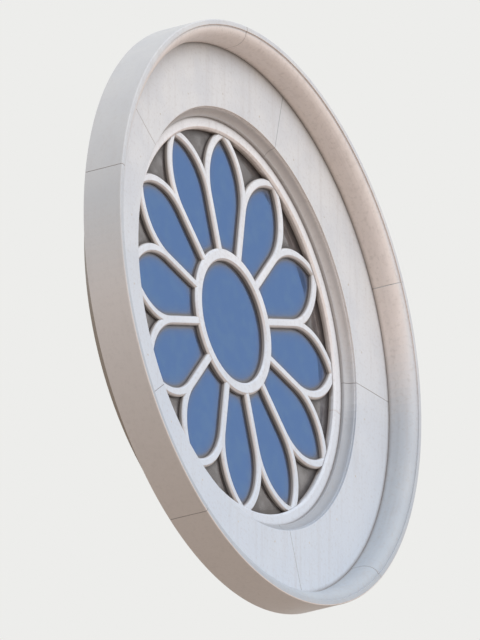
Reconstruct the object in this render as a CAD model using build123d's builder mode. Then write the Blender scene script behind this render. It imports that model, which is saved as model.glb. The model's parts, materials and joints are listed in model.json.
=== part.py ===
from build123d import *
import os
from math import acos, atan2, cos, degrees, hypot, radians, sin, sqrt

# Round fixed window of painted wood. The glazed sash carries a twelve-petal tracery round
# a central eye, a flat casing frames it, and a deep moulded ring closes it off outside.
# Millimetres. +X is right and +Z is up as seen from outside, and +Y runs into the wall.
# The origin is on the window's axis, in the plane where the casing seats against the wall.
# Profiles give a radius and a height: heights are positive in front of that seat plane.

# The rings are laid out from the eye outwards, and come to 1.2 m across.

# Tracery
petals = 12
tracery_turn = 8.8                # degrees clockwise from the top to the first bar
hub_radius = 138.0                # middle of the ring round the eye
hub_width = 25.0
hub_setback = 5.0                 # behind the face of the sash rim
bar_length = 108.5                # from the hub ring to where the bar divides in two
bar_width = 19.0
bar_setback = 6.0
bar_splay = 4.0
branch_rise = 136.0               # from there to the sash rim
fork_stub = 10.0                  # straight end of a fork, where it takes the bar
fin_width = 7.0
fin_inset = 2.0
tenon_length = 8.0
tenon_height = 5.0
tenon_setback = 8.0

# Glass and putty
glass_plane = 15.0                # depth of the glass face behind the sash face
glass_thickness = 4.0
glass_edge_gap = 1.5
putty_height = 11.0
putty_width = 7.5

# Sash rim
sash_rim_width = 51.0
sash_thickness = 38.0
sash_segments = 4
sash_splay = 4.0
sash_lap_length = 45.0
sash_clearance = 2.0

# Lining that reaches into the wall, and the stop bead that keeps the sash in
jamb_thickness = 32.0
jamb_depth = 70.0
jamb_arris = 2.0
stop_segments = 3
stop_first_joint = 86.0           # degrees clockwise from the top
stop_width = 24.0
stop_depth = 18.0
stop_splay = 5.0
stop_brads_each = 4
brad_width = 2.4
brad_thickness = 1.6
brad_length = 38.0
brad_proud = 0.3

# Flat casing with a moulded inner edge
lining_cover = 29.0               # how far the casing reaches in past the lining
casing_width = 146.0              # the part of it that shows
casing_thickness = 28.0
casing_segments = 5
casing_first_joint = 14.0         # degrees clockwise from the top
edge_mould_width = 15.0
edge_land = 2.0
edge_land_height = 7.0
edge_quirk = 4.0
edge_cove_sag = 2.8

# Outer moulded ring, made in bent segments
backband_width = 35.0
backband_height = 85.0
backband_segments = 5
backband_first_joint = 61.9       # degrees clockwise from the top
backband_joint_gap = 0.4
crest_width = 11.0
crest_nose = 3.0
crest_quirk = 3.0
shoulder_rise = 32.0
casing_lap = 8.0

fit_gap = 0.3

# Radii that follow
spring_radius = hub_radius + hub_width / 2 + bar_length
sash_sight_radius = spring_radius + branch_rise
rebate_radius = sash_sight_radius + (bar_width - fin_width) / 2
sash_outer = sash_sight_radius + sash_rim_width
jamb_inner_radius = sash_outer + sash_clearance
jamb_outer = jamb_inner_radius + jamb_thickness
stop_outer = jamb_inner_radius - fit_gap
stop_inner = jamb_inner_radius - stop_width
casing_sight_radius = jamb_inner_radius - lining_cover
casing_face_radius = casing_sight_radius + edge_mould_width
backband_inner = casing_sight_radius + casing_width
casing_outer = backband_inner + casing_lap
outer_radius = backband_inner + backband_width

# Depths and angles that follow
glass_back = glass_plane + glass_thickness
putty_back = glass_back + putty_height
fin_back = sash_thickness - fin_inset
fin_half = fin_width / 2
pane_offset = fin_half + glass_edge_gap
hub_fin_inner = hub_radius - fin_half
hub_fin_outer = hub_radius + fin_half
pitch = 360 / petals
half_pitch = pitch / 2

# The centre lines of two neighbouring branches meet on the wall of the rebate
meeting_x = rebate_radius * sin(radians(half_pitch))
meeting_z = rebate_radius * cos(radians(half_pitch))
branch_radius = (meeting_x ** 2 + (meeting_z - spring_radius) ** 2) / (2 * meeting_x)


def section_plane(angle):
    """Plane through the window's axis: local x is the radius, local y points outside."""
    turn = radians(angle)
    return Plane((0, 0, 0), x_dir=(sin(turn), 0, cos(turn)), z_dir=(cos(turn), 0, -sin(turn)))


def facing_plane(height):
    """Plane across the window's axis, facing outside, at a height in front of the seat."""
    return Plane.XZ.offset(height)


def save(piece, name):
    piece.part.label = name
    export_step(piece.part, f"parts/{name}.step")


def save_turned(piece, angle, name):
    """Write a copy of the piece, turned clockwise about the window's axis."""
    with BuildPart() as copy:
        with Locations(Location((0, 0, 0), (0, 1, 0), angle)):
            add(piece.part)
    save(copy, name)


# Profiles of the rings

def backband_profile(plane):
    """Deep ring moulding with an elliptic inner shoulder, lapped over the casing's edge."""
    lap = casing_outer + fit_gap
    crest_inner = outer_radius - crest_width
    shoulder = backband_height - crest_quirk
    with BuildSketch(plane) as profile:
        with BuildLine():
            Polyline((backband_inner, casing_thickness), (lap, casing_thickness), (lap, 0),
                     (outer_radius, 0), (outer_radius, backband_height - crest_nose))
            TangentArc((outer_radius, backband_height - crest_nose),
                       (outer_radius - crest_nose, backband_height), tangent=(0, 1))
            Polyline((outer_radius - crest_nose, backband_height), (crest_inner, backband_height),
                     (crest_inner, shoulder))
            EllipticalCenterArc((crest_inner, shoulder - shoulder_rise), crest_inner - backband_inner,
                                shoulder_rise, start_angle=90, arc_size=90)
            Line((backband_inner, shoulder - shoulder_rise), (backband_inner, casing_thickness))
        make_face()
    return profile.sketch


def casing_profile(plane):
    """Flat board with a land, a cove and a quirk worked on its inner edge."""
    cove_start = (casing_sight_radius + edge_land, edge_land_height)
    cove_end = (casing_face_radius - edge_land, casing_thickness - edge_quirk)
    with BuildSketch(plane) as profile:
        with BuildLine():
            Polyline((casing_sight_radius, 0), (casing_sight_radius, edge_land_height), cove_start)
            SagittaArc(cove_start, cove_end, -edge_cove_sag)
            Polyline(cove_end, (casing_face_radius, casing_thickness - edge_quirk),
                     (casing_face_radius, casing_thickness), (casing_outer, casing_thickness),
                     (casing_outer, 0), (casing_sight_radius, 0))
        make_face()
    return profile.sketch


def sash_front_profile(plane):
    """Front layer of the sash rim, with a splayed sight edge and the top of the rebate."""
    middle = -sash_thickness / 2
    with BuildSketch(plane) as profile:
        with BuildLine():
            Polyline((sash_outer, middle), (sash_outer, 0), (sash_sight_radius + sash_splay, 0),
                     (sash_sight_radius, -sash_splay), (sash_sight_radius, -glass_plane),
                     (rebate_radius, -glass_plane), (rebate_radius, middle), close=True)
        make_face()
    return profile.sketch


def sash_back_profile(plane):
    """Back layer of the sash rim, outside the glazing rebate."""
    middle = -sash_thickness / 2
    with BuildSketch(plane) as profile:
        with BuildLine():
            Polyline((rebate_radius, middle), (sash_outer, middle), (sash_outer, -sash_thickness),
                     (rebate_radius, -sash_thickness), close=True)
        make_face()
    return profile.sketch


def muntin_profile(plane, centre, width, setback):
    """T section: a splayed head outside, and a thin fin behind it between two rebates."""
    left, right = centre - width / 2, centre + width / 2
    with BuildSketch(plane) as profile:
        with BuildLine():
            Polyline((left, -setback - bar_splay), (left + bar_splay, -setback),
                     (right - bar_splay, -setback), (right, -setback - bar_splay),
                     (right, -glass_plane), (centre + fin_half, -glass_plane),
                     (centre + fin_half, -fin_back), (centre - fin_half, -fin_back),
                     (centre - fin_half, -glass_plane), (left, -glass_plane), close=True)
        make_face()
    return profile.sketch


# Outlines of the openings, offset from the centre lines of the bars

def petal_outline(plane, offset, inner):
    """Petal between two bars and a circle round the hub, with its axis along +Z."""
    side = radians(half_pitch)
    start = sqrt(inner ** 2 - offset ** 2)
    foot = (start * sin(side) - offset * cos(side), start * cos(side) + offset * sin(side))
    spring = (spring_radius * sin(side) - offset * cos(side),
              spring_radius * cos(side) + offset * sin(side))
    centre = (spring_radius * sin(side) - branch_radius * cos(side),
              spring_radius * cos(side) + branch_radius * sin(side))
    reach = branch_radius - offset
    apex = (0, centre[1] + sqrt(reach ** 2 - centre[0] ** 2))
    with BuildSketch(plane) as profile:
        with BuildLine():
            Line(foot, spring)
            RadiusArc(spring, apex, -reach)
            RadiusArc(apex, (-spring[0], spring[1]), -reach)
            Line((-spring[0], spring[1]), (-foot[0], foot[1]))
            ThreePointArc((-foot[0], foot[1]), (0, inner), foot)
        make_face()
    return profile.sketch


def spandrel_outline(plane, offset, outer):
    """Curved triangle between the two branches of a bar along +Z and a circle inside the rim."""
    reach = branch_radius + offset
    crotch = (0, spring_radius + sqrt(reach ** 2 - branch_radius ** 2))
    distance = hypot(branch_radius, spring_radius)
    spread = acos((outer ** 2 + distance ** 2 - reach ** 2) / (2 * outer * distance))
    corner_angle = atan2(branch_radius, spring_radius) - spread
    corner = (outer * sin(corner_angle), outer * cos(corner_angle))
    with BuildSketch(plane) as profile:
        with BuildLine():
            RadiusArc(crotch, corner, reach)
            ThreePointArc(corner, (0, outer), (-corner[0], corner[1]))
            RadiusArc((-corner[0], corner[1]), crotch, reach)
        make_face()
    return profile.sketch


os.makedirs("parts", exist_ok=True)

# Outer ring, in bent segments whose joints have opened a little
backband_span = 360 / backband_segments
backband_gap_angle = degrees(backband_joint_gap / outer_radius)
for number in range(backband_segments):
    start = backband_first_joint + number * backband_span + backband_gap_angle / 2
    with BuildPart() as backband:
        revolve(backband_profile(section_plane(start)), axis=Axis.Y,
                revolution_arc=backband_span - backband_gap_angle)
    save(backband, f"backband_{number + 1}")

# Casing, in butted segments whose joints are filled and painted over
casing_span = 360 / casing_segments
for number in range(casing_segments):
    start = casing_first_joint + number * casing_span
    with BuildPart() as casing:
        revolve(casing_profile(section_plane(start)), axis=Axis.Y, revolution_arc=casing_span)
    save(casing, f"casing_{number + 1}")

# Cut brads of the stop bead, driven outwards into the lining
stop_span = 360 / stop_segments
brad_pitch = stop_span / stop_brads_each
brad_depth = sash_thickness + stop_depth / 2
with BuildPart() as stop_brads:
    for number in range(stop_segments * stop_brads_each):
        turn = radians(stop_first_joint + (number + 0.5) * brad_pitch)
        radial = Plane((0, brad_depth, 0), x_dir=(0, 1, 0), z_dir=(sin(turn), 0, cos(turn)))
        with BuildSketch(radial.offset(stop_inner - brad_proud)):
            Rectangle(brad_thickness, brad_width)
        extrude(amount=brad_length)
save(stop_brads, "stop_brads")

# Lining, laminated in one ring
with BuildPart() as jamb:
    with BuildSketch(section_plane(0)):
        with BuildLine():
            Polyline((jamb_inner_radius, 0), (jamb_outer, 0), (jamb_outer, -jamb_depth),
                     (jamb_inner_radius + jamb_arris, -jamb_depth),
                     (jamb_inner_radius, jamb_arris - jamb_depth), close=True)
        make_face()
    revolve(axis=Axis.Y)
    add(stop_brads.part, mode=Mode.SUBTRACT)
save(jamb, "jamb")

# Stop bead behind the sash
stop_back = -sash_thickness - stop_depth
for number in range(stop_segments):
    with BuildPart() as stop_bead:
        with BuildSketch(section_plane(stop_first_joint + number * stop_span)):
            with BuildLine():
                Polyline((stop_inner, stop_back + stop_splay), (stop_inner, -sash_thickness),
                         (stop_outer, -sash_thickness), (stop_outer, stop_back),
                         (stop_inner + stop_splay, stop_back), close=True)
            make_face()
        revolve(axis=Axis.Y, revolution_arc=stop_span)
        add(stop_brads.part, mode=Mode.SUBTRACT)
    save(stop_bead, f"stop_bead_{number + 1}")

# Sash rim, in segments joined by half laps
sash_span = 360 / sash_segments
lap_angle = degrees(sash_lap_length / rebate_radius)
with BuildPart() as rim_ring:
    revolve(sash_front_profile(section_plane(0)), axis=Axis.Y)
    revolve(sash_back_profile(section_plane(0)), axis=Axis.Y)
for number in range(sash_segments):
    start = tracery_turn + number * sash_span
    with BuildPart() as sash_rim:
        revolve(sash_front_profile(section_plane(start - lap_angle / 2)), axis=Axis.Y,
                revolution_arc=sash_span)
        revolve(sash_back_profile(section_plane(start + lap_angle / 2)), axis=Axis.Y,
                revolution_arc=sash_span)
    save(sash_rim, f"sash_rim_{number + 1}")

# Stub tenons at both ends of a bar, let into the hub ring and the fork
fork_root = spring_radius - fork_stub
tenon_start = hub_radius + hub_width / 2 - tenon_length
with BuildPart() as tenons:
    with BuildSketch(Plane((0, tenon_setback, tenon_start), x_dir=(1, 0, 0), z_dir=(0, 0, 1))):
        Rectangle(fin_width, tenon_height, align=(Align.CENTER, Align.MIN))
    extrude(amount=fork_root + tenon_length - tenon_start)

# Hub ring round the central eye
with BuildPart() as plain_hub:
    revolve(muntin_profile(section_plane(0), hub_radius, hub_width, hub_setback), axis=Axis.Y)
with BuildPart() as hub_ring:
    add(plain_hub.part)
    for number in range(petals):
        with Locations(Location((0, 0, 0), (0, 1, 0), tracery_turn + number * pitch)):
            add(tenons.part, mode=Mode.SUBTRACT)
save(hub_ring, "hub_ring")

# Straight bar, scribed over the hub ring
with BuildPart() as bar:
    across = Plane((0, 0, fork_root), x_dir=(1, 0, 0), z_dir=(0, 0, -1))
    extrude(muntin_profile(across, 0, bar_width, bar_setback), amount=fork_root - hub_radius)
    add(plain_hub.part, mode=Mode.SUBTRACT)
    add(tenons.part)

# Fork: the bar's end divides into two branches. Each is swept a quarter turn, then cut off
# against the rim and mitred where it meets its neighbour halfway between two bars.
edge_x, edge_z = sash_outer * sin(radians(half_pitch)), sash_outer * cos(radians(half_pitch))
with BuildPart() as fork:
    across = Plane((0, 0, spring_radius), x_dir=(1, 0, 0), z_dir=(0, 0, -1))
    branch_end = muntin_profile(across, 0, bar_width, bar_setback)
    extrude(branch_end, amount=fork_stub)
    for side in (-1, 1):
        pivot = Axis((side * branch_radius, 0, spring_radius), (0, side, 0))
        revolve(branch_end, axis=pivot, revolution_arc=90)
    add(rim_ring.part, mode=Mode.SUBTRACT)
    add(tenons.part, mode=Mode.SUBTRACT)
    with BuildSketch(facing_plane(0)):
        with BuildLine():
            Polyline((0, 0), (edge_x, edge_z), (-edge_x, edge_z), close=True)
        make_face()
    extrude(amount=-sash_thickness, mode=Mode.INTERSECT)

# Panes
with BuildPart() as hub_pane:
    with BuildSketch(facing_plane(-glass_back)):
        Circle(hub_fin_inner - glass_edge_gap)
    extrude(amount=glass_thickness)
save(hub_pane, "hub_pane")

with BuildPart() as petal_pane:
    extrude(petal_outline(facing_plane(-glass_back), pane_offset, hub_fin_outer + glass_edge_gap),
            amount=glass_thickness)

with BuildPart() as spandrel_pane:
    extrude(spandrel_outline(facing_plane(-glass_back), pane_offset, rebate_radius - glass_edge_gap),
            amount=glass_thickness)

for number in range(petals):
    angle = tracery_turn + number * pitch
    save_turned(bar, angle, f"bar_{number + 1:02d}")
    save_turned(fork, angle, f"fork_{number + 1:02d}")
    save_turned(petal_pane, angle + half_pitch, f"petal_pane_{number + 1:02d}")

with BuildPart() as spandrel_panes:
    for number in range(petals):
        with Locations(Location((0, 0, 0), (0, 1, 0), tracery_turn + number * pitch)):
            add(spandrel_pane.part)
save(spandrel_panes, "spandrel_panes")

# Putty behind each pane, struck off at a slope from the back of the fins to the glass
with BuildPart() as petal_putty:
    extrude(petal_outline(facing_plane(-putty_back), fin_half, hub_fin_outer), amount=putty_height)
    loft([petal_outline(facing_plane(-glass_back), fin_half + putty_width, hub_fin_outer + putty_width),
          petal_outline(facing_plane(-putty_back), fin_half, hub_fin_outer)],
         ruled=True, mode=Mode.SUBTRACT)

with BuildPart() as spandrel_putty:
    extrude(spandrel_outline(facing_plane(-putty_back), fin_half, rebate_radius), amount=putty_height)
    loft([spandrel_outline(facing_plane(-glass_back), fin_half + putty_width, rebate_radius - putty_width),
          spandrel_outline(facing_plane(-putty_back), fin_half, rebate_radius)],
         ruled=True, mode=Mode.SUBTRACT)

with BuildPart() as glazing_putty:
    with BuildSketch(section_plane(0)):
        with BuildLine():
            Polyline((hub_fin_inner, -glass_back), (hub_fin_inner, -putty_back),
                     (hub_fin_inner - putty_width, -glass_back), close=True)
        make_face()
    revolve(axis=Axis.Y)
    for number in range(petals):
        angle = tracery_turn + number * pitch
        with Locations(Location((0, 0, 0), (0, 1, 0), angle)):
            add(spandrel_putty.part)
        with Locations(Location((0, 0, 0), (0, 1, 0), angle + half_pitch)):
            add(petal_putty.part)
save(glazing_putty, "glazing_putty")
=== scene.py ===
import json
import math

import bpy
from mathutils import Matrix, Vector


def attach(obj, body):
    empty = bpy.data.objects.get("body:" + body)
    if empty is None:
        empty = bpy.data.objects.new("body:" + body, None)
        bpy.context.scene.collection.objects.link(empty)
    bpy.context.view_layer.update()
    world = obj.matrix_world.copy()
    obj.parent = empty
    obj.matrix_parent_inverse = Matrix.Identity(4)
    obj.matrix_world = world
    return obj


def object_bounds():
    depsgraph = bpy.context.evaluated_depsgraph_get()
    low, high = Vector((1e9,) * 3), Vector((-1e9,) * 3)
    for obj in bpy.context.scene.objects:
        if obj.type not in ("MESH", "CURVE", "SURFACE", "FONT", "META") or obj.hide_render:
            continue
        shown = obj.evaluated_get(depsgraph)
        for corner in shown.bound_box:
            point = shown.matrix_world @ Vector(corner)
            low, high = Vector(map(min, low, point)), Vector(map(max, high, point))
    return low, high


# Looks of a round window of painted wood. Metres; +X right, +Y into the wall, +Z up.
# The window's axis is the Y axis, and its outer face looks along -Y.

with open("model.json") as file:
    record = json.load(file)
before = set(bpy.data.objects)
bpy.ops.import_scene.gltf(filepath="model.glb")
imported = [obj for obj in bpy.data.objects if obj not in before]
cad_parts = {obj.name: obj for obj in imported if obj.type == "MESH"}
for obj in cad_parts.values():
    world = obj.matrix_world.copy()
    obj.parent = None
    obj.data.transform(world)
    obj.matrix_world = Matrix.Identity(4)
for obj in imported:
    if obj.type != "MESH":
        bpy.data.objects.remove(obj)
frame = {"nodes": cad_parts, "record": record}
nodes = frame["nodes"]
cad_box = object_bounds()
mm = 0.001

# The window's own sizes that the finishes follow
OUTER_RADIUS = cad_box[1].x
CASING_FACE = -28 * mm
CASING_MIDDLE = 500 * mm          # radius half way across the casing
GLASS_FACE = 15 * mm
GLASS_BACK = 19 * mm
RING_JOINTS = 5                   # in the casing and in the outer ring alike
CASING_JOINT = 14.0               # first joint, degrees clockwise from the top
OUTER_RING_JOINT = 61.9
FIRST_BAR = 8.8
BARS = 12

# Nails that hold the casing to the lining, and sprigs that hold the panes
NAIL_RADIUS = 464 * mm
NAILS_EACH = 4
SPRIG_RADIUS = 205 * mm
SPRIG_OFFSET = 9 * mm             # from the middle of the bar

# Where the camera stands, seen from the window, and how large the window comes out
CAMERA_AZIMUTH = -59.8
CAMERA_ELEVATION = -25.1
CAMERA_DISTANCE = 31.0
PIXELS_A_METRE = 500.0
IMAGE_HEIGHT = 640
SENSOR = 36.0
FLOOR_DROP = 0.3
KEY_SPREAD = 40.0                 # degrees that the soft light fills


def linear(colour):
    """sRGB hex to the linear values that a colour socket takes."""
    parts = [int(colour[i:i + 2], 16) / 255 for i in (0, 2, 4)]
    return [c / 12.92 if c <= 0.04045 else ((c + 0.055) / 1.055) ** 2.4 for c in parts] + [1.0]


def add(tree, kind, sockets=None, **settings):
    """Adds a node. A socket takes a value, an output, or a node, which gives its first output."""
    made = tree.nodes.new(kind)
    for name, value in settings.items():
        setattr(made, name, value)
    for name, value in (sockets or {}).items():
        if isinstance(value, bpy.types.Node):
            value = value.outputs[0]
        if isinstance(value, bpy.types.NodeSocket):
            tree.links.new(value, made.inputs[name])
        else:
            made.inputs[name].default_value = value
    return made


def new_material(name):
    made = bpy.data.materials.new(name)
    made.use_nodes = True
    made.node_tree.nodes.clear()
    return made, made.node_tree


def laid_over(tree, colour, coats):
    """Lays coats over a colour. Each coat has the value that its place is read from, the value
    where it starts, the value where it is full, how strong it is there, and its own colour."""
    for value, start, full, strength, tint in coats:
        share = add(tree, "ShaderNodeMapRange", {
            "Value": value, "From Min": start, "From Max": full, "To Max": strength},
            interpolation_type="SMOOTHSTEP")
        mixed = add(tree, "ShaderNodeMix", {0: share, 6: colour, 7: tint}, data_type="RGBA")
        colour = mixed.outputs[2]
    return colour


# Finishes

def straight_pine(tree, share, radius, joints):
    """Colour of unpainted pine, sawn from straight boards and gone dark. The grain runs straight
    through each segment, in lines about 5 mm apart. The share counts segments round the ring."""
    own_share = add(tree, "ShaderNodeMath", {0: share}, operation="FRACT")
    own_turn = add(tree, "ShaderNodeMath", {
        0: own_share, 1: math.tau / joints, 2: -math.pi / joints}, operation="MULTIPLY_ADD")
    along = add(tree, "ShaderNodeMath", {0: own_turn}, operation="SINE")
    over = add(tree, "ShaderNodeMath", {0: own_turn}, operation="COSINE")
    board = add(tree, "ShaderNodeCombineXYZ", {
        "X": add(tree, "ShaderNodeMath", {0: along, 1: radius}, operation="MULTIPLY"),
        "Y": add(tree, "ShaderNodeMath", {0: over, 1: radius}, operation="MULTIPLY"),
        "Z": share})
    board = add(tree, "ShaderNodeVectorMath", {
        0: board, 1: (1 / (250 * mm), 1 / (5 * mm), 3.0)}, operation="MULTIPLY")
    grain = add(tree, "ShaderNodeTexNoise", {
        "Vector": board, "Scale": 1.0, "Detail": 3.0, "Distortion": 0.3})
    return laid_over(tree, linear("B49C7A"), [(grain, 0.35, 0.7, 1.0, linear("8E7252"))])


def brushed_paint(name, paint, chalk, painted_cool_light_below, painted_warm_light_under, painted_recess_shade=None, painted_ledge_shade=0.0, seam=0.0, joints=0):
    """Oil paint brushed along the wood, years old. It has chalked in patches. Painted light and
    shade tint the lower half cooler and the faces turned down warm, darken the faces turned up
    as far as the painted ledge shade says, and darken the corners, with a dusting there too.
    The painted recess shade is the depth where it is darkest, its reach, its strength and its
    colour. The seam is the place of a joint, in degrees, and a back that faces the
    wall is bare wood where the joints are given."""
    material, tree = new_material(name)
    place = add(tree, "ShaderNodeTexCoord").outputs["Object"]
    geometry = add(tree, "ShaderNodeNewGeometry")
    facing = add(tree, "ShaderNodeSeparateXYZ", {0: geometry.outputs["True Normal"]})
    split = add(tree, "ShaderNodeSeparateXYZ", {0: place})
    depth = split.outputs["Y"]

    # Round the window: the turn from a joint, the radius, and the way along the ring
    turned = add(tree, "ShaderNodeMapping", {"Vector": place, "Rotation": (0, math.radians(seam), 0)})
    across = add(tree, "ShaderNodeSeparateXYZ", {0: turned})
    turn = add(tree, "ShaderNodeMath", {
        0: across.outputs["X"], 1: across.outputs["Z"]}, operation="ARCTAN2")
    flat = add(tree, "ShaderNodeVectorMath", {0: place, 1: (1, 0, 1)}, operation="MULTIPLY")
    radius = add(tree, "ShaderNodeVectorMath", {0: flat}, operation="LENGTH").outputs["Value"]

    # Chalking in patches of about 90 mm, flecks of about 7 mm, and rain runs 15 mm wide
    patches = add(tree, "ShaderNodeTexNoise", {
        "Vector": place, "Scale": 1 / (90 * mm), "Detail": 3.0})
    flecks = add(tree, "ShaderNodeTexNoise", {"Vector": place, "Scale": 1 / (7 * mm), "Detail": 2.0})
    run_place = add(tree, "ShaderNodeVectorMath", {
        0: place, 1: (1 / (15 * mm), 1 / (15 * mm), 1 / (300 * mm))}, operation="MULTIPLY")
    runs = add(tree, "ShaderNodeTexNoise", {"Vector": run_place, "Scale": 1.0, "Detail": 2.0})
    # Brush marks about 120 mm long in the middle of the casing, drawn 2 mm wide so that they show
    stroke_lengths = CASING_MIDDLE / (120 * mm)
    stroke_place = add(tree, "ShaderNodeCombineXYZ", {
        "X": add(tree, "ShaderNodeMath", {0: turn, 1: stroke_lengths}, operation="MULTIPLY"),
        "Y": add(tree, "ShaderNodeMath", {0: radius, 1: 1 / (2 * mm)}, operation="MULTIPLY"),
        "Z": add(tree, "ShaderNodeMath", {0: depth, 1: 1 / (2 * mm)}, operation="MULTIPLY")})
    strokes = add(tree, "ShaderNodeTexNoise", {"Vector": stroke_place, "Scale": 1.0, "Detail": 2.0})
    corner = add(tree, "ShaderNodeAmbientOcclusion", {"Distance": 14 * mm}, samples=8).outputs["AO"]

    coats = [
        (patches, 0.35, 0.65, 1.0, linear(chalk)),
        # Painted light: the lower half tinted cooler, as the sky lights it
        (split.outputs["Z"], 0.4, -0.4, 0.8, linear(painted_cool_light_below)),
        # Painted light and shade: faces turned down take a warm tint
        (facing.outputs["Z"], 0.05, -0.35, 0.9, linear(painted_warm_light_under)),
        # Painted shade: faces turned up darkened to a cool grey
        (facing.outputs["Z"], 0.01, 0.14, painted_ledge_shade, linear("98A2AD")),
        (runs, 0.5, 0.75, 0.12, linear("A89B8F")),
        (flecks, 0.5, 0.75, 0.2, linear("A89B8F")),
        (strokes, 0.55, 0.8, 0.12, linear("A89B8F")),
        # Painted shade in the corners that ambient occlusion finds, with a dusting there too
        (corner, 0.85, 0.35, 0.85, linear("736860")),
    ]
    # Painted shade in a recess: darkest at one depth, fading over its reach
    if painted_recess_shade:
        recess_shade_depth, recess_shade_reach, recess_shade_strength, recess_shade_tint = painted_recess_shade
        off_recess = add(tree, "ShaderNodeMath", {0: depth, 1: recess_shade_depth}, operation="SUBTRACT")
        off_recess = add(tree, "ShaderNodeMath", {0: off_recess}, operation="ABSOLUTE")
        coats.append((off_recess, recess_shade_reach, 0.5 * recess_shade_reach, recess_shade_strength, linear(recess_shade_tint)))
    # Only primer on the outermost wall, which the masonry hides
    primed = OUTER_RADIUS - 0.5 * mm
    coats.append((radius, primed - 1 * mm, primed, 0.6, linear("C3C1BD")))
    if joints:
        # Hairline where the paint has cracked over a joint
        share = add(tree, "ShaderNodeMath", {
            0: turn, 1: joints / math.tau, 2: joints / 2}, operation="MULTIPLY_ADD")
        off_joint = add(tree, "ShaderNodeMath", {0: share, 1: 0.5}, operation="PINGPONG")
        off_joint = add(tree, "ShaderNodeMath", {0: off_joint, 1: radius}, operation="MULTIPLY")
        hairline = 1.0 * mm * joints / math.tau
        coats.append((off_joint, hairline, 0.4 * hairline, 0.4, linear("5F564E")))
        coats.append((facing.outputs["Y"], 0.5, 0.8, 0.9, straight_pine(tree, share, radius, joints)))
    colour = laid_over(tree, linear(paint), coats)

    # Paint builds up at the arrises and rounds them
    arris = add(tree, "ShaderNodeBevel", {"Radius": 1.0 * mm}, samples=4)
    brushed = add(tree, "ShaderNodeBump", {
        "Height": strokes, "Distance": 0.3 * mm, "Strength": 0.4, "Normal": arris})
    bump = add(tree, "ShaderNodeBump", {
        "Height": flecks, "Distance": 0.3 * mm, "Strength": 0.4, "Normal": brushed})
    dull = add(tree, "ShaderNodeMapRange", {
        "Value": patches, "From Min": 0.3, "From Max": 0.7, "To Min": 0.42, "To Max": 0.62})
    shader = add(tree, "ShaderNodeBsdfPrincipled", {
        "Base Color": colour, "Roughness": dull, "IOR": 1.48, "Normal": bump})
    add(tree, "ShaderNodeOutputMaterial", {"Surface": shader})
    return material


def drawn_glass(name, mirror, stain, edge_shade_and_dust):
    """Old drawn glass before a dark room. It mirrors its surroundings a little wavily, through its
    mirror tint. Painted shade, with a dusting, darkens it along its edges."""
    material, tree = new_material(name)
    place = add(tree, "ShaderNodeTexCoord").outputs["Object"]
    # Waves of the drawn sheet about 60 mm apart, and stains of about 25 mm
    waves = add(tree, "ShaderNodeTexNoise", {"Vector": place, "Scale": 1 / (60 * mm), "Detail": 1.0})
    stains = add(tree, "ShaderNodeTexNoise", {"Vector": place, "Scale": 1 / (25 * mm), "Detail": 3.0})
    corner = add(tree, "ShaderNodeAmbientOcclusion", {"Distance": 30 * mm}, samples=16).outputs["AO"]
    colour = laid_over(tree, linear(mirror), [
        (stains, 0.4, 0.7, 1.0, linear(stain)),
        # Painted shade along the edges that ambient occlusion finds next to the bars, with a dusting
        # there too
        (corner, 0.97, 0.82, 0.85, linear(edge_shade_and_dust)),
    ])
    dull = add(tree, "ShaderNodeMapRange", {
        "Value": corner, "From Min": 0.97, "From Max": 0.82, "To Min": 0.03, "To Max": 0.35})
    bump = add(tree, "ShaderNodeBump", {"Height": waves, "Distance": 0.5 * mm, "Strength": 0.3})
    shader = add(tree, "ShaderNodeBsdfPrincipled", {
        "Base Color": colour, "Metallic": 0.85, "Roughness": dull, "IOR": 1.5,
        "Transmission Weight": 0.6, "Normal": bump})
    add(tree, "ShaderNodeOutputMaterial", {"Surface": shader})
    return material


def linseed_putty(name):
    """Putty knifed to a slope, under a coat of paint that has dulled and cracked a little."""
    material, tree = new_material(name)
    place = add(tree, "ShaderNodeTexCoord").outputs["Object"]
    lumps = add(tree, "ShaderNodeTexNoise", {"Vector": place, "Scale": 1 / (9 * mm), "Detail": 3.0})
    # Hairline cracks about every 40 mm, in the half of the putty that has dried out most
    cracks = add(tree, "ShaderNodeTexVoronoi", {"Vector": place, "Scale": 1 / (40 * mm)},
                 feature="DISTANCE_TO_EDGE")
    whole = add(tree, "ShaderNodeTexNoise", {"Vector": place, "Scale": 1 / (50 * mm), "Detail": 1.0})
    whole = add(tree, "ShaderNodeMath", {0: whole, 1: 0.5}, operation="SUBTRACT")
    cracks = add(tree, "ShaderNodeMath", {0: cracks, 1: whole}, operation="MAXIMUM")
    colour = laid_over(tree, linear("BDB9AD"), [
        (lumps, 0.35, 0.65, 1.0, linear("A19C8E")),
        (cracks, 0.015, 0.005, 0.65, linear("5A5349")),
    ])
    bump = add(tree, "ShaderNodeBump", {"Height": lumps, "Distance": 0.6 * mm, "Strength": 0.6})
    shader = add(tree, "ShaderNodeBsdfPrincipled", {
        "Base Color": colour, "Roughness": 0.7, "IOR": 1.45, "Normal": bump})
    add(tree, "ShaderNodeOutputMaterial", {"Surface": shader})
    return material


def rusted_steel(name, steel, rust, metallic):
    """Nails and brads cut from sheet steel, dulled by rust in spots of about 1.5 mm."""
    material, tree = new_material(name)
    place = add(tree, "ShaderNodeTexCoord").outputs["Object"]
    spots = add(tree, "ShaderNodeTexNoise", {"Vector": place, "Scale": 1 / (1.5 * mm), "Detail": 3.0})
    colour = laid_over(tree, linear(steel), [(spots, 0.4, 0.65, 1.0, linear(rust))])
    bump = add(tree, "ShaderNodeBump", {"Height": spots, "Distance": 0.1 * mm, "Strength": 0.6})
    shader = add(tree, "ShaderNodeBsdfPrincipled", {
        "Base Color": colour, "Metallic": metallic, "Roughness": 0.5, "Normal": bump})
    add(tree, "ShaderNodeOutputMaterial", {"Surface": shader})
    return material


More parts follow.
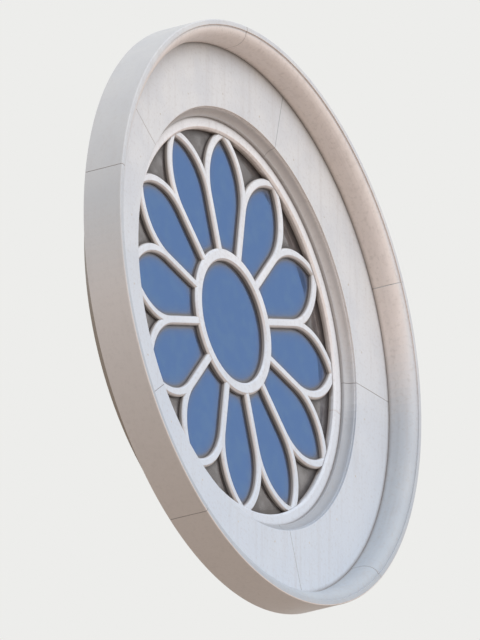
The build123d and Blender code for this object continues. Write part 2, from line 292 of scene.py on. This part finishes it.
# The patterns round the rings start at a joint, which a turn brings to the bottom
joint_pitch = 360 / RING_JOINTS
casing_seam = 180 - (CASING_JOINT + 2 * joint_pitch)
outer_seam = 180 - (OUTER_RING_JOINT + 2 * joint_pitch)

# One oil paint outside, whitest on the sash, which the outer ring shelters from soot
# On the casing, painted recess shade darkens the cove of the moulding, and painted ledge shade the
# faces turned up
casing_paint = brushed_paint(
    "brushed oil paint on the casing", "D8D7D5", "D0D0D0", "C6CFD9", "EADFD6",
    painted_recess_shade=(-8 * mm, 18 * mm, 0.5, "93908E"), painted_ledge_shade=0.6, seam=casing_seam, joints=RING_JOINTS)
# The outer ring's cool tint below and warm tint underneath are painted light and shade
outer_paint = brushed_paint(
    "brushed oil paint on the outer ring", "D2D2D0", "CACBCC", "A8B1B9", "EDDFD5",
    seam=outer_seam, joints=RING_JOINTS)
# On the sash, painted recess shade darkens the walls of the openings next to the glass
sash_paint = brushed_paint(
    "brushed oil paint on the sash", "E8E8E8", "DFE1E3", "CBD3DC", "E2D8D0",
    painted_recess_shade=(GLASS_FACE - 1 * mm, 7 * mm, 0.8, "9A928A"))
# The sash rim is painted lighter than the sash, painted light for its corner under the casing, and
# painted recess shade darkens it by the glass
lightened_rim_paint = brushed_paint(
    "brushed oil paint on the sash rim", "F2F0EE", "EAE9E8", "C8D0D9", "F0E4DB",
    painted_recess_shade=(GLASS_FACE - 1 * mm, 6 * mm, 0.4, "978B80"))
# Primer on the lining was never painted over, so it is greyer and browner
# Its cooler lower half and darker undersides are painted light and shade
primer = brushed_paint("oil primer on the lining", "BDBAB2", "B1ADA4", "B5B4AE", "A39A8E")
# Clean panes take a plain blue, a painted reflection of the sky, and the small panes a dark grey
glass = drawn_glass("drawn window glass", "547CB6", "5A81B6", "857F7A")
grey_small_pane_glass = drawn_glass("grey glass of the small panes", "807B7B", "9A9697", "625D5C")
putty = linseed_putty("linseed putty")
steel = rusted_steel("rusted cut steel", "8A8783", "6A4B38", 0.9)
# Filler over the nail heads, painted, with a little rust coming through
nail_filling = rusted_steel("filled nail holes under paint", "CFCFCD", "B9A791", 0.0)

FINISHES = {
    "painted_trim": casing_paint,
    "painted_sash": sash_paint,
    "primed_lining": primer,
    "glass": glass,
    "soiled_glass": grey_small_pane_glass,
    "putty": putty,
    "brad_steel": steel,
}

# Pieces whose paint differs from the rest of their slot
OWN_FINISHES = {"backband": outer_paint, "sash_rim": lightened_rim_paint}

# Pieces worked with a moulding plane, and how far sandpaper has eased their arrises
EASED = {"casing": 0.8 * mm, "backband": 0.8 * mm, "sash_rim": 0.8 * mm, "stop_bead": 0.35 * mm}


def ease_arrises(piece, width):
    """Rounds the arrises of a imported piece, after its loose triangles are joined up."""
    joined = piece.modifiers.new("joined", "WELD")
    joined.merge_threshold = 0.02 * mm
    faces = piece.modifiers.new("whole faces", "DECIMATE")
    faces.decimate_type = "DISSOLVE"
    faces.angle_limit = math.radians(0.5)
    eased = piece.modifiers.new("eased arrises", "BEVEL")
    eased.width = width
    eased.segments = 2
    eased.angle_limit = math.radians(35)
    piece.modifiers.new("even shading", "WEIGHTED_NORMAL").keep_sharp = True


for row in frame["record"]["subparts"]:
    piece = nodes[row["node"]]
    kind = row["node"].rstrip("0123456789").rstrip("_")
    piece.data.materials.clear()
    piece.data.materials.append(OWN_FINISHES.get(kind, FINISHES[row["material_slot"]]))
    if kind in EASED:
        ease_arrises(piece, EASED[kind])


# Small pieces set round a circle: nails in the casing, and sprigs on the panes

def round_the_circle():
    """Flat pieces with a few corners, each turned to its place on a circle about the Y axis."""
    tree = bpy.data.node_groups.new("set round a circle", "GeometryNodeTree")
    for name, kind in (("Count", "Int"), ("Circle Radius", "Float"), ("First Turn", "Float"),
                       ("Seat", "Float"), ("Scatter", "Float"), ("Corners", "Int"),
                       ("Piece Radius", "Float"), ("Thickness", "Float"), ("Own Turn", "Float"),
                       ("Finish", "Material")):
        tree.interface.new_socket(name, in_out="INPUT", socket_type=f"NodeSocket{kind}")
    tree.interface.new_socket("Geometry", in_out="OUTPUT", socket_type="NodeSocketGeometry")
    given = add(tree, "NodeGroupInput").outputs

    step = add(tree, "ShaderNodeMath", {0: math.tau, 1: given["Count"]}, operation="DIVIDE")
    index = add(tree, "GeometryNodeInputIndex")
    turn = add(tree, "ShaderNodeMath", {
        0: index, 1: step, 2: given["First Turn"]}, operation="MULTIPLY_ADD")
    scatter = add(tree, "FunctionNodeRandomValue", {"Min": (-1, 0, -1), "Max": (1, 0, 1), "Seed": 7},
                  data_type="FLOAT_VECTOR")
    scatter = add(tree, "ShaderNodeVectorMath", {
        0: scatter, "Scale": given["Scatter"]}, operation="SCALE")
    across = add(tree, "ShaderNodeMath", {0: turn}, operation="SINE")
    across = add(tree, "ShaderNodeMath", {0: across, 1: given["Circle Radius"]}, operation="MULTIPLY")
    up = add(tree, "ShaderNodeMath", {0: turn}, operation="COSINE")
    up = add(tree, "ShaderNodeMath", {0: up, 1: given["Circle Radius"]}, operation="MULTIPLY")
    place = add(tree, "ShaderNodeCombineXYZ", {"X": across, "Y": given["Seat"], "Z": up})
    place = add(tree, "ShaderNodeVectorMath", {0: place, 1: scatter}, operation="ADD")
    points = add(tree, "GeometryNodePoints", {"Count": given["Count"], "Position": place})

    # A flat piece grows from its seat towards -Y
    rim = add(tree, "ShaderNodeMath", {0: given["Piece Radius"], 1: 0.8}, operation="MULTIPLY")
    piece = add(tree, "GeometryNodeMeshCone", {
        "Vertices": given["Corners"], "Radius Top": rim, "Radius Bottom": given["Piece Radius"],
        "Depth": given["Thickness"]})
    piece = add(tree, "GeometryNodeTransform", {
        "Geometry": piece.outputs["Mesh"],
        "Rotation": add(tree, "ShaderNodeCombineXYZ", {"X": math.pi / 2, "Y": given["Own Turn"]})})
    instances = add(tree, "GeometryNodeInstanceOnPoints", {
        "Points": points, "Instance": piece,
        "Rotation": add(tree, "ShaderNodeCombineXYZ", {"Y": turn})})
    real = add(tree, "GeometryNodeRealizeInstances", {"Geometry": instances})
    finished = add(tree, "GeometryNodeSetMaterial", {"Geometry": real, "Material": given["Finish"]})
    add(tree, "NodeGroupOutput", {"Geometry": finished})
    return tree


def set_round(tree, name, slot, **sizes):
    """Makes one plain mesh of all the pieces that the tree sets out with these sizes."""
    host = bpy.data.objects.new(name, bpy.data.meshes.new(name))
    bpy.context.scene.collection.objects.link(host)
    modifier = host.modifiers.new("pieces", "NODES")
    modifier.node_group = tree
    for socket in tree.interface.items_tree:
        if socket.in_out == "INPUT":
            modifier[socket.identifier] = sizes[socket.name.lower().replace(" ", "_")]
    evaluated = host.evaluated_get(bpy.context.evaluated_depsgraph_get())
    mesh = bpy.data.meshes.new_from_object(evaluated)
    host.modifiers.clear()
    host.data = mesh
    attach(host, "root")


circle_tree = round_the_circle()
nail_count = RING_JOINTS * NAILS_EACH
set_round(circle_tree, "casing_nails", "painted_trim", count=nail_count, circle_radius=NAIL_RADIUS,
          first_turn=math.radians(CASING_JOINT + 180 / nail_count), seat=CASING_FACE + 1 * mm,
          scatter=3 * mm, corners=14, piece_radius=2.6 * mm, thickness=1.15 * mm, own_turn=0.0,
          finish=nail_filling)
for side, label in ((1, "right"), (-1, "left")):
    off_bar = math.asin(SPRIG_OFFSET / SPRIG_RADIUS)
    set_round(circle_tree, f"pane_sprigs_{label}", "brad_steel", count=BARS,
              circle_radius=SPRIG_RADIUS, first_turn=math.radians(FIRST_BAR) + side * off_bar,
              seat=GLASS_BACK + 0.9 * mm, scatter=1 * mm, corners=3, piece_radius=6 * mm,
              thickness=0.9 * mm, own_turn=0.0 if side > 0 else math.pi, finish=steel)


# Studio

def pale_floor(height):
    bpy.ops.mesh.primitive_plane_add(size=60, location=(0, 0, height))
    floor = bpy.context.object
    floor.name = "floor"
    material, tree = new_material("pale floor")
    # The camera sees it pale, and it sends up light as warm as paving does
    seen = add(tree, "ShaderNodeLightPath").outputs["Is Camera Ray"]
    colour = laid_over(tree, linear("B8AB9F"), [(seen, 0.0, 1.0, 1.0, linear("E4E2DE"))])
    matt = add(tree, "ShaderNodeBsdfDiffuse", {"Color": colour})
    # From underneath it is clear, because the camera looks up at the window
    below = add(tree, "ShaderNodeNewGeometry").outputs["Backfacing"]
    clear = add(tree, "ShaderNodeBsdfTransparent")
    surface = add(tree, "ShaderNodeMixShader", {0: below, 1: matt, 2: clear})
    add(tree, "ShaderNodeOutputMaterial", {"Surface": surface})
    floor.data.materials.append(material)


def studio_world():
    """Soft light, cool from above and warmer from below, before a plain pale backdrop."""
    world = bpy.data.worlds.new("studio")
    world.use_nodes = True
    tree = world.node_tree
    tree.nodes.clear()
    direction = add(tree, "ShaderNodeTexCoord").outputs["Generated"]
    height = add(tree, "ShaderNodeSeparateXYZ", {0: direction}).outputs["Z"]
    colour = laid_over(tree, linear("A89C90"), [(height, -0.5, 0.6, 1.0, linear("EEF4FF"))])
    soft = add(tree, "ShaderNodeBackground", {"Color": colour, "Strength": 1.12})
    backdrop = add(tree, "ShaderNodeBackground", {"Color": linear("EDEDEB"), "Strength": 1.0})
    path = add(tree, "ShaderNodeLightPath").outputs
    seen = add(tree, "ShaderNodeMath", {
        0: path["Is Camera Ray"], 1: path["Is Glossy Ray"]}, operation="MAXIMUM")
    seen = add(tree, "ShaderNodeMath", {0: seen, 1: path["Is Transmission Ray"]}, operation="MAXIMUM")
    mixed = add(tree, "ShaderNodeMixShader", {0: seen, 1: soft, 2: backdrop})
    add(tree, "ShaderNodeOutputWorld", {"Surface": mixed})
    bpy.context.scene.world = world


def soft_key(place, strength, colour):
    """Broad, even light from the front, a little above and to the left."""
    light = bpy.data.lights.new("key", "SUN")
    light.energy = strength
    light.angle = math.radians(KEY_SPREAD)
    light.color = linear(colour)[:3]
    key = bpy.data.objects.new("key", light)
    key.location = place
    key.rotation_euler = (-Vector(place)).to_track_quat("-Z", "Y").to_euler()
    bpy.context.scene.collection.objects.link(key)


def photo_camera():
    azimuth, elevation = math.radians(CAMERA_AZIMUTH), math.radians(CAMERA_ELEVATION)
    back = Vector((math.sin(azimuth) * math.cos(elevation), -math.cos(azimuth) * math.cos(elevation),
                   math.sin(elevation)))
    middle = (cad_box[0] + cad_box[1]) / 2
    camera = bpy.data.objects.new("camera", bpy.data.cameras.new("camera"))
    camera.location = middle + back * CAMERA_DISTANCE
    camera.rotation_euler = (-back).to_track_quat("-Z", "Y").to_euler()
    camera.data.sensor_width = SENSOR
    camera.data.lens = PIXELS_A_METRE * CAMERA_DISTANCE / IMAGE_HEIGHT * SENSOR
    camera.data.clip_end = 2 * CAMERA_DISTANCE
    bpy.context.scene.collection.objects.link(camera)
    bpy.context.scene.camera = camera


pale_floor(cad_box[0].z - FLOOR_DROP)
studio_world()
soft_key((-2.5, -7.0, 4.5), 1.4, "FAFBFF")
photo_camera()
bpy.context.scene.view_settings.view_transform = "Standard"
